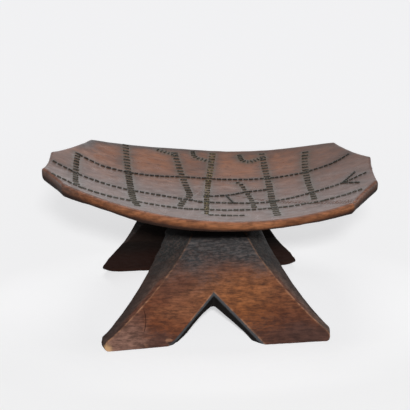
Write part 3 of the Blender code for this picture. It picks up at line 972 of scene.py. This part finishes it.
# The notch band is painted a grey sheen on the bevel, and its walls are painted dark as shade.
keep_attribute(body, "notch", notch_bevel_sheen)
keep_attribute(body, "notch_wall", notch_wall_shade)
x, y, z = places.T
square_on = squareness(normals[:, 1], normals[:, 2])
adzed = (1 - smooth_step(square_on, *ADZED_TURN)) * (1 - smooth_step(z, *ADZED_TOP))
keep_attribute(body, "adzed", adzed)
# What faces down is painted darker in the legs' finish, as shade.
keep_attribute(body, "beneath", smooth_step(-normals[:, 2], *DOWNWARD))
toe = np.linalg.norm(places - FRONT_LEFT_TOE, axis=1)
other_toe = np.min([np.linalg.norm(places - tip, axis=1) for tip in OTHER_TOES], axis=0)
toe_wear = 1 - smooth_step(toe, 0.45 * TOE_REACH, TOE_REACH)
other_wear = OTHER_TOE_WEAR * (1 - smooth_step(other_toe, 0.2 * TOE_REACH, TOE_REACH))
keep_attribute(body, "toe", np.maximum(toe_wear, other_wear))
print("points in the notches:", int((notch_bevel_sheen > 0.5).sum()))

# %% Mark the dirt along the rows, and the seat
STAIN_SAMPLE = 0.0015
STAIN_WIDTH = (0.0010, 0.0046)
LADDER_WIDTH = (0.0020, 0.0065)
GRIME_WIDTH = (0.0020, 0.0200)
SEAT_FALL = 0.0008
SEAT_FACING = 0.5
RIM_FALL = 0.0190
EDGE_FALL = 0.0040
EDGE_WIDTH = (0.002, 0.024)


def distance_to_rows(nodes):
    """How far each point of the skin lies from the nearest stitch of some rows."""
    samples = []
    for node in nodes:
        for middle, way, length in rows[node]:
            for offset in np.arange(-length / 2, length / 2 + STAIN_SAMPLE / 2, STAIN_SAMPLE):
                spot = middle + way * offset
                samples.append((*spot, seat_height(*spot)))
    return distance_to(samples)


running = [node for node in WIRE_NODES if node not in RUNG_ROWS]
for name, nodes, width in (("stain", running, STAIN_WIDTH), ("ladder", RUNG_ROWS, LADDER_WIDTH),
                           ("grime", WIRE_NODES, GRIME_WIDTH)):
    keep_attribute(body, name, 1 - smooth_step(distance_to_rows(nodes), *width))
on_seat = (fall < SEAT_FALL) & (normals[:, 2] > SEAT_FACING)
on_rim = (fall < RIM_FALL) & ~on_seat
upper_rim = [Vector(place) for place in places[on_rim & (fall < EDGE_FALL)]]
keep_attribute(body, "edge", 1 - smooth_step(distance_to(upper_rim), *EDGE_WIDTH))
print("points on the seat:", int(on_seat.sum()), "and on the rim:", int(on_rim.sum()))


# %% [markdown]
# ## Finishes
#
# The wood is a dark red-brown with its grain along the seat. The seat was rubbed to a polish by use, the rim
# is half rubbed, and the legs and the underside stayed dry and matt. A shader takes one level of gloss for a
# whole finish, so the block gets three finishes, which share their grain. Noise that is stretched along X
# gives bands and fibres, slower noise gives patches, and the numbers above bring in the wear, the dirt and
# the painted shade and sheen. Each finish starts from a brown, which is then tinted step by step.

# %% The grain that the wood finishes share
FULL = (0.0, 1.0)
BAND_SPAN = (0.32, 0.68)
STREAK_SPAN = (0.36, 0.64)
GLOSS_SPAN = (0.3, 0.7)
NOISE_ROUGHNESS = 0.6
RELIEF_DEPTH = 0.0006
STREAK_TONE = colour(0.030, 0.011, 0.006)
PORE_TONE = colour(0.020, 0.008, 0.005)
GRAIN_NOISES = {
    "bands": ((8.0, 60.0, 60.0), 5.0),
    "streaks": ((50.0, 330.0, 330.0), 4.0),
    "fibres": ((70.0, 900.0, 900.0), 3.0),
    "patches": ((11.0, 15.0, 15.0), 4.0),
    "mottle": ((75.0, 130.0, 130.0), 5.0),
    "flecks": ((150.0, 420.0, 420.0), 4.0),
}


def stretched_noise(tree, coordinates, scale, detail):
    place = add_node(tree, "ShaderNodeMapping", {"Vector": coordinates, "Scale": scale})
    sockets = {"Vector": place.outputs[0], "Scale": 1.0, "Detail": detail, "Roughness": NOISE_ROUGHNESS}
    return add_node(tree, "ShaderNodeTexNoise", sockets).outputs["Fac"]


def new_finish(name):
    finish = bpy.data.materials.new(name)
    finish.use_nodes = True
    return finish, finish.node_tree, finish.node_tree.nodes["Principled BSDF"]


class Wood:
    """A wood finish in the making: its noises, the place that they are read at, and its brown so far."""

    def __init__(self, name):
        self.finish, self.tree, self.shader = new_finish(name)
        self.place = add_node(self.tree, "ShaderNodeTexCoord").outputs["Object"]
        axes = add_node(self.tree, "ShaderNodeSeparateXYZ", {0: self.place})
        self.x, self.y, self.z = (axes.outputs[axis] for axis in "XYZ")
        for noise, (scale, detail) in GRAIN_NOISES.items():
            setattr(self, noise, stretched_noise(self.tree, self.place, scale, detail))
        self.brown = None

    def mark(self, name):
        return add_node(self.tree, "ShaderNodeAttribute", attribute_name=name).outputs["Fac"]

    def ramp(self, value, span, levels=FULL):
        return map_range(self.tree, value, *span, *levels)

    def times(self, first, second):
        return multiply(self.tree, first, second)

    def plus(self, first, second):
        return calculate(self.tree, "ADD", first, second)

    def minus(self, first, second):
        return calculate(self.tree, "SUBTRACT", first, second)

    def larger(self, first, second):
        return calculate(self.tree, "MAXIMUM", first, second)

    def mix(self, mask, first, second):
        return mix_colour(self.tree, mask, first, second)

    def tint(self, mask, tone):
        self.brown = self.mix(mask, self.brown, tone)

    def shade(self, value, span, levels):
        """Darkens and lightens the brown as a noise goes up and down."""
        self.brown = mix_colour(self.tree, 1.0, self.brown, self.ramp(value, span, levels), blend="MULTIPLY")

    def darken_grain(self, streaks, pores):
        """Dark lines along the grain: broad streaks and fine open pores."""
        self.tint(self.ramp(self.streaks, (0.46, 0.28), (0.0, streaks)), STREAK_TONE)
        self.tint(self.ramp(self.fibres, (0.46, 0.30), (0.0, pores)), PORE_TONE)

    def complete(self, roughness, specular, relief):
        """Joins the brown, the gloss and the relief to the shader and gives the finished material."""
        self.tree.links.new(self.brown, self.shader.inputs["Base Color"])
        self.tree.links.new(self.ramp(self.mottle, GLOSS_SPAN, roughness), self.shader.inputs["Roughness"])
        self.shader.inputs["Specular IOR Level"].default_value = specular
        height = self.plus(self.plus(self.streaks, self.flecks), self.mottle)
        sockets = {"Height": height, "Strength": relief, "Distance": RELIEF_DEPTH}
        bump = add_node(self.tree, "ShaderNodeBump", sockets)
        self.tree.links.new(bump.outputs[0], self.shader.inputs["Normal"])
        print(self.finish.name, "has", len(self.tree.nodes), "nodes")
        return self.finish


print("noises in the grain:", ", ".join(GRAIN_NOISES))

# %% The polished seat
REAR_SPAN = (0.03, 0.17)
REAR_RAGGEDNESS = 0.16
GRIME_TONE = colour(0.056, 0.034, 0.025)
LADDER_TONE = colour(0.092, 0.086, 0.064)
STAIN_TONE = colour(0.024, 0.020, 0.016)
BACK_EDGE_WEAR_AND_SHEEN = colour(0.044, 0.037, 0.035)
RIGHT_REAR_TONE = colour(0.092, 0.062, 0.055)

wood = Wood("polished_seat_wood")
banded = wood.ramp(wood.bands, BAND_SPAN, (0.2, 0.8))
rear_brown = wood.mix(banded, colour(0.162, 0.052, 0.018), colour(0.272, 0.100, 0.039))
front_brown = wood.mix(banded, colour(0.085, 0.032, 0.017), colour(0.145, 0.054, 0.026))
towards_rear = wood.plus(wood.y, wood.times(wood.patches, REAR_RAGGEDNESS))
wood.brown = wood.mix(wood.ramp(towards_rear, REAR_SPAN), front_brown, rear_brown)
wood.tint(wood.ramp(wood.patches, (0.50, 0.64), (0.0, 0.6)), colour(0.082, 0.034, 0.021))
wood.tint(wood.ramp(wood.mottle, (0.50, 0.70), (0.0, 0.5)), colour(0.052, 0.020, 0.011))
wood.darken_grain(streaks=0.12, pores=0.20)
right_rear = wood.times(wood.ramp(wood.x, (0.09, 0.21), (0.0, 0.60)),
                        wood.ramp(wood.y, (-0.05, 0.06), (0.3, 1.0)))
wood.tint(right_rear, RIGHT_REAR_TONE)
wood.shade(wood.streaks, STREAK_SPAN, (0.88, 1.12))
# The worn back edge of the seat, with a painted grey reflection on its rounding, strongest to the left.
back_edge_wear_and_sheen = wood.times(wood.mark("edge"), wood.ramp(wood.y, (0.05, 0.12)))
wood.tint(wood.times(back_edge_wear_and_sheen, wood.ramp(wood.x, (0.08, -0.05), (0.40, 0.92))), BACK_EDGE_WEAR_AND_SHEEN)
for name, strength, tone in (("grime", 0.55, GRIME_TONE), ("ladder", 0.60, LADDER_TONE),
                             ("stain", 0.65, STAIN_TONE)):
    wood.tint(wood.times(wood.mark(name), strength), tone)
seat_wood = wood.complete(roughness=(0.27, 0.38), specular=0.88, relief=0.14)

# %% The rubbed rim
RIM_FRONT = (-0.02, -0.10)
RIM_LOWER_SHADE = (0.0085, 0.0145)
RIM_UPPER = (0.0046, 0.0020)
RIM_SHADE = (0.0050, 0.0105)
LEFT_CORNER = (-0.225, -0.185)
RIGHT_CORNER = (0.225, 0.185)

wood = Wood("rubbed_rim_wood")
fallen = wood.mark("fall")
banded = wood.ramp(wood.bands, BAND_SPAN, (0.1, 0.9))
front_brown = wood.mix(banded, colour(0.140, 0.048, 0.018), colour(0.275, 0.110, 0.048))
rear_brown = wood.mix(banded, colour(0.036, 0.029, 0.027), colour(0.068, 0.052, 0.047))
off_corners = wood.times(wood.ramp(wood.x, LEFT_CORNER, (0.30, 1.0)),
                         wood.ramp(wood.x, RIGHT_CORNER, (0.35, 1.0)))
wood.brown = wood.mix(wood.times(wood.ramp(wood.y, RIM_FRONT), off_corners), rear_brown, front_brown)
wood.tint(wood.ramp(fallen, RIM_UPPER, (0.0, 0.6)), colour(0.165, 0.068, 0.042))
# Painted shade: the rim's lower half is darker towards its sides, where it rounds away downwards.
to_side = wood.larger(wood.ramp(wood.x, (0.05, 0.15), (0.10, 0.75)),
                      wood.ramp(wood.x, (-0.03, -0.13), (0.10, 0.40)))
wood.tint(wood.times(wood.ramp(fallen, RIM_SHADE), to_side), colour(0.085, 0.030, 0.014))
wood.shade(wood.streaks, STREAK_SPAN, (0.78, 1.26))
wood.tint(wood.ramp(wood.mottle, (0.50, 0.62), (0.0, 0.45)), colour(0.060, 0.022, 0.011))
wood.darken_grain(streaks=0.35, pores=0.4)
# Painted shade: the rim's lower edge is near-black under its rounding.
wood.tint(wood.ramp(fallen, RIM_LOWER_SHADE, (0.0, 0.92)), colour(0.016, 0.008, 0.006))
rim_wood = wood.complete(roughness=(0.32, 0.46), specular=0.34, relief=0.30)


# %% [markdown]
# ## The legs' finish
#
# The legs kept the marks of the tools and of use. Their broad faces are brown with soft patches, and grey
# under the seat, with old patina where no hand rubs them and with painted shade of the seat. Their adzed
# sides are darker, with a red strip beside each arris. Paler wear runs along the arrises, and one crack
# climbs the left foot. Painted shadow makes a near-black band right under the seat, painted shade darkens the
# hollows, what faces down and the notches' walls, a painted grey sheen lies on the notches' bevels, and a
# faint grey veil of painted sheen lies over all. Each of these is a tint of its own, laid over the one
# before.

# %% The broad faces of the legs
PATINA_AND_SHADE_RANGE = (0.076, 0.113)
MAUVE_RANGE = (0.064, 0.092)
PATCH_RAGGEDNESS = 0.09
FLECK_RAGGEDNESS = 0.04
PATCH_SCALE = (0.7, 0.0, 1.0)

# Each patch has its X and Z, its reach, its strength and its tone.
LEG_PATCHES = (
    (0.036, 0.058, 0.050, 0.42, colour(0.330, 0.116, 0.032)),
    (0.085, 0.030, 0.040, 0.30, colour(0.055, 0.017, 0.009)),
    (0.128, 0.012, 0.035, 0.40, colour(0.050, 0.027, 0.022)),
    (-0.070, 0.078, 0.032, 0.45, colour(0.090, 0.034, 0.022)),
    (-0.150, 0.008, 0.032, 0.70, colour(0.240, 0.130, 0.095)),
)


def soft_patch(wood, x, z, reach, strength):
    """A patch with a ragged soft edge about one place on the legs' faces."""
    away = vector_sum(wood.tree, "SUBTRACT", wood.place, (x, 0.0, z))
    away = vector_sum(wood.tree, "LENGTH", vector_sum(wood.tree, "MULTIPLY", away, PATCH_SCALE))
    ragged = wood.plus(away, wood.times(wood.minus(wood.mottle, 0.5), reach))
    return wood.ramp(ragged, (1.2 * reach, 0.1 * reach), (0.0, strength))


wood = Wood("matt_carved_wood")
banded = wood.ramp(wood.bands, BAND_SPAN, (0.2, 0.8))
uneven_height = wood.plus(wood.z, wood.times(wood.minus(0.5, wood.patches), PATCH_RAGGEDNESS))
uneven_height = wood.plus(uneven_height, wood.times(wood.minus(0.5, wood.flecks), FLECK_RAGGEDNESS))
wood.brown = wood.mix(banded, colour(0.145, 0.047, 0.017), colour(0.235, 0.092, 0.042))
wood.tint(wood.ramp(wood.patches, (0.48, 0.60), (0.0, 0.6)), colour(0.100, 0.033, 0.017))
wood.tint(wood.ramp(uneven_height, (0.062, 0.030), (0.0, 0.8)), colour(0.118, 0.030, 0.008))
wood.tint(wood.ramp(uneven_height, (0.030, 0.010), (0.0, 0.70)), colour(0.060, 0.030, 0.024))
left_foot = wood.times(wood.ramp(wood.x, (-0.102, -0.130), (0.0, 0.7)), wood.ramp(wood.z, (0.060, 0.035)))
wood.tint(left_foot, colour(0.105, 0.050, 0.036))
for patch_x, patch_z, reach, strength, tone in LEG_PATCHES:
    wood.tint(soft_patch(wood, patch_x, patch_z, reach, strength), tone)
wood.tint(wood.ramp(uneven_height, MAUVE_RANGE, (0.0, 0.55)), colour(0.112, 0.062, 0.050))
# The leg tops under the seat are painted grey: old patina, and painted shade of the seat around its cast
# shadow.
patina_and_shade = wood.ramp(uneven_height, PATINA_AND_SHADE_RANGE, (0.0, 0.96))
scratches = wood.ramp(wood.flecks, (0.43, 0.68))
wood.tint(patina_and_shade, wood.mix(scratches, colour(0.026, 0.028, 0.029), colour(0.100, 0.100, 0.100)))
print("patches on the legs:", len(LEG_PATCHES))

# %% The adzed sides of the legs
STRIP_REACH = (0.013, 0.005)
OUTER_REACH = (0.012, 0.026)

off_arris = wood.mark("off_arris")
on_right = wood.ramp(wood.x, (-0.02, 0.02))
facet_brown = wood.mix(on_right, colour(0.092, 0.059, 0.045), colour(0.165, 0.104, 0.078))
low_facet = wood.times(wood.ramp(wood.z, (0.070, 0.026), (0.0, 0.90)), wood.minus(1.0, on_right))
facet_brown = wood.mix(low_facet, facet_brown, colour(0.022, 0.014, 0.011))
strip = wood.times(wood.ramp(off_arris, STRIP_REACH, (0.0, 0.85)), wood.ramp(wood.z, (0.100, 0.070)))
strip = wood.times(strip, wood.ramp(wood.z, (0.016, 0.048), (0.10, 1.0)))
facet_brown = wood.mix(strip, facet_brown, colour(0.170, 0.056, 0.028))
outer = wood.ramp(off_arris, OUTER_REACH, (0.0, 0.82))
facet_brown = wood.mix(outer, facet_brown, colour(0.020, 0.015, 0.013))
facet_grey = wood.mix(scratches, colour(0.014, 0.015, 0.014), colour(0.050, 0.050, 0.047))
facet_brown = wood.mix(patina_and_shade, facet_brown, facet_grey)
wood.tint(wood.times(wood.mark("adzed"), 0.9), facet_brown)
rear_shade = wood.times(wood.ramp(wood.y, (0.0, 0.05), (0.0, 0.75)),
                        wood.ramp(wood.z, (0.04, 0.10), (0.2, 1.0)))
wood.tint(wood.times(wood.mark("adzed"), rear_shade), colour(0.026, 0.013, 0.010))
print("strip beside the arrises:", STRIP_REACH[0] * 1000, "mm")

# %% The grain, wear, painted sheen and painted shade of the legs
PAINTED_RIM_SHADOW = (0.129, 0.1345)
PAINTED_LEG_SHEEN = 0.045

specks = wood.larger(wood.ramp(wood.mottle, (0.50, 0.70), (0.0, 0.35)),
                     wood.ramp(wood.flecks, (0.48, 0.68), (0.0, 0.48)))
wood.tint(specks, colour(0.050, 0.019, 0.010))
wood.darken_grain(streaks=0.35, pores=0.4)
wood.shade(wood.streaks, STREAK_SPAN, (0.84, 1.18))
wood.shade(wood.mottle, (0.34, 0.66), (1.22, 0.80))
# A faint grey veil of painted sheen over the whole leg, since the front lamp gives no reflections.
wood.tint(PAINTED_LEG_SHEEN, colour(0.240, 0.240, 0.260))
# A near-black band right under the seat: painted shadow of the rim on the tops of the legs.
wood.tint(wood.ramp(wood.z, PAINTED_RIM_SHADOW, (0.0, 0.97)), colour(0.004, 0.003, 0.003))
# What faces down is painted darker, as shade, and more so higher up under the seat.
deep = wood.ramp(wood.z, (0.035, 0.085))
painted_underside_shade = wood.mix(deep, colour(0.050, 0.018, 0.012), colour(0.014, 0.008, 0.006))
wood.tint(wood.times(wood.mark("beneath"), 0.8), painted_underside_shade)
# Hollows and creases are painted darker, as shade.
wood.tint(wood.times(wood.mark("hollow"), 0.75), colour(0.012, 0.007, 0.005))
rubbed = wood.ramp(wood.mottle, (0.60, 0.40), (0.2, 1.0))
rubbed = wood.times(rubbed, wood.ramp(wood.z, (0.115, 0.060), (0.3, 1.0)))
wood.tint(wood.times(wood.mark("wear"), rubbed), colour(0.390, 0.200, 0.115))
# The notches' bevels are painted a pale grey sheen, and their walls are painted dark as shade.
wood.tint(wood.mark("notch"), colour(0.066, 0.068, 0.072))
wood.tint(wood.mark("notch_wall"), colour(0.014, 0.012, 0.011))
wood.tint(wood.times(wood.mark("toe"), 0.80), colour(0.560, 0.340, 0.180))
# Where the band of painted shadow under the seat starts.
print("dirt under the seat from", PAINTED_RIM_SHADOW[0], "m up")

# %% The crack in the left foot
CRACK_X = -0.1146
CRACK_Z = 0.034
CRACK_CURVE = 17.0
CRACK_HALF_WIDTH = 0.0008
CRACK_ENDS = (0.016, 0.049)
CRACK_FADE = 0.2
CRACK_FRONT = (-0.10, -0.09)

climb = wood.minus(wood.z, CRACK_Z)
sway = wood.times(wood.times(climb, climb), CRACK_CURVE)
aside = calculate(wood.tree, "ABSOLUTE", wood.plus(wood.minus(wood.x, CRACK_X), sway))
crack = wood.ramp(aside, (0.3 * CRACK_HALF_WIDTH, CRACK_HALF_WIDTH), (0.85, 0.0))
for end, inner in zip(CRACK_ENDS, CRACK_ENDS[::-1]):
    crack = wood.times(crack, wood.ramp(wood.z, (end, end + (inner - end) * CRACK_FADE)))
crack = wood.times(crack, wood.ramp(wood.y, CRACK_FRONT, (1.0, 0.0)))
wood.tint(crack, colour(0.012, 0.007, 0.005))
leg_wood = wood.complete(roughness=(0.50, 0.62), specular=0.12, relief=0.45)


# %% [markdown]
# ## The wires' finish
#
# The stitches are old wire: a dark skin, with brighter metal where it is rubbed, dulled by dust towards the
# front. Most are iron, the rungs a little dustier, and the centre ladder has the yellow of tarnished brass.

# %% The iron and brass wire
DUSTY_RANGE = (0.02, -0.13)
DUST_GREY = colour(0.080, 0.078, 0.066)
SPECKLE_SCALE = (420.0, 420.0, 420.0)
RUBBED_SPAN = 0.15


def wire_finish(name, dark, bright, metallic, bright_from, front_grey):
    """Old wire with a dark skin, brighter metal where it is rubbed, and grey dust to the front."""
    finish, tree, shader = new_finish(name)
    coordinates = add_node(tree, "ShaderNodeTexCoord").outputs["Object"]
    speckle = stretched_noise(tree, coordinates, SPECKLE_SCALE, 3.0)
    rubbed = map_range(tree, speckle, bright_from, bright_from + RUBBED_SPAN, *FULL)
    forward = add_node(tree, "ShaderNodeSeparateXYZ", {0: coordinates}).outputs["Y"]
    dusty = map_range(tree, forward, *DUSTY_RANGE, 0.0, front_grey)
    metal = mix_colour(tree, dusty, mix_colour(tree, rubbed, dark, bright), DUST_GREY)
    tree.links.new(metal, shader.inputs["Base Color"])
    tree.links.new(map_range(tree, speckle, *GLOSS_SPAN, 0.62, 0.38), shader.inputs["Roughness"])
    shader.inputs["Metallic"].default_value = metallic
    return finish


iron = wire_finish("dark_iron_wire", dark=colour(0.016, 0.014, 0.012), bright=colour(0.045, 0.042, 0.034),
                   metallic=0.20, bright_from=0.50, front_grey=0.7)
ladder_iron = wire_finish("dusty_iron_wire", dark=colour(0.018, 0.017, 0.014),
                          bright=colour(0.070, 0.066, 0.052), metallic=0.20, bright_from=0.47, front_grey=0.8)
brass = wire_finish("tarnished_brass_wire", dark=colour(0.045, 0.040, 0.026),
                    bright=colour(0.340, 0.270, 0.120), metallic=0.50, bright_from=0.51, front_grey=0.3)
print("wire finishes:", iron.name, ladder_iron.name, brass.name)


# %% [markdown]
# ## Join the looks to the frame
#
# Every piece rides on the stool's one body and takes its finish: the block its three, face by face, and each
# row of stitches the one for its wire's material slot. The solids that they replace are hidden.

# %% Dress, ride and replace
SLOT_OF = {part["node"]: part["material_slot"] for part in frame["record"]["subparts"]}
WIRE_FINISH = {"iron_wire": iron, "brass_wire": brass}

for finish in (leg_wood, rim_wood, seat_wood):
    body.data.materials.append(finish)
corner_counts = np.empty(len(body.data.polygons), dtype=int)
body.data.polygons.foreach_get("loop_total", corner_counts)
corners = np.empty(len(body.data.loops), dtype=int)
body.data.loops.foreach_get("vertex_index", corners)
first_corners = np.concatenate(([0], np.cumsum(corner_counts)[:-1]))
seat_corners = np.add.reduceat(on_seat[corners].astype(int), first_corners)
rim_corners = np.add.reduceat((on_rim | on_seat)[corners].astype(int), first_corners)
finish_index = (rim_corners == corner_counts).astype(int) + (seat_corners == corner_counts)
body.data.polygons.foreach_set("material_index", finish_index)
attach(body, "root")
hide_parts("carved_body")
for node, row in row_pieces.items():
    is_iron_ladder = node in RUNG_ROWS and SLOT_OF[node] == "iron_wire"
    row.data.materials.append(ladder_iron if is_iron_ladder else WIRE_FINISH[SLOT_OF[node]])
    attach(row, "root")
    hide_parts(node)
print("pieces dressed:", 1 + len(row_pieces))
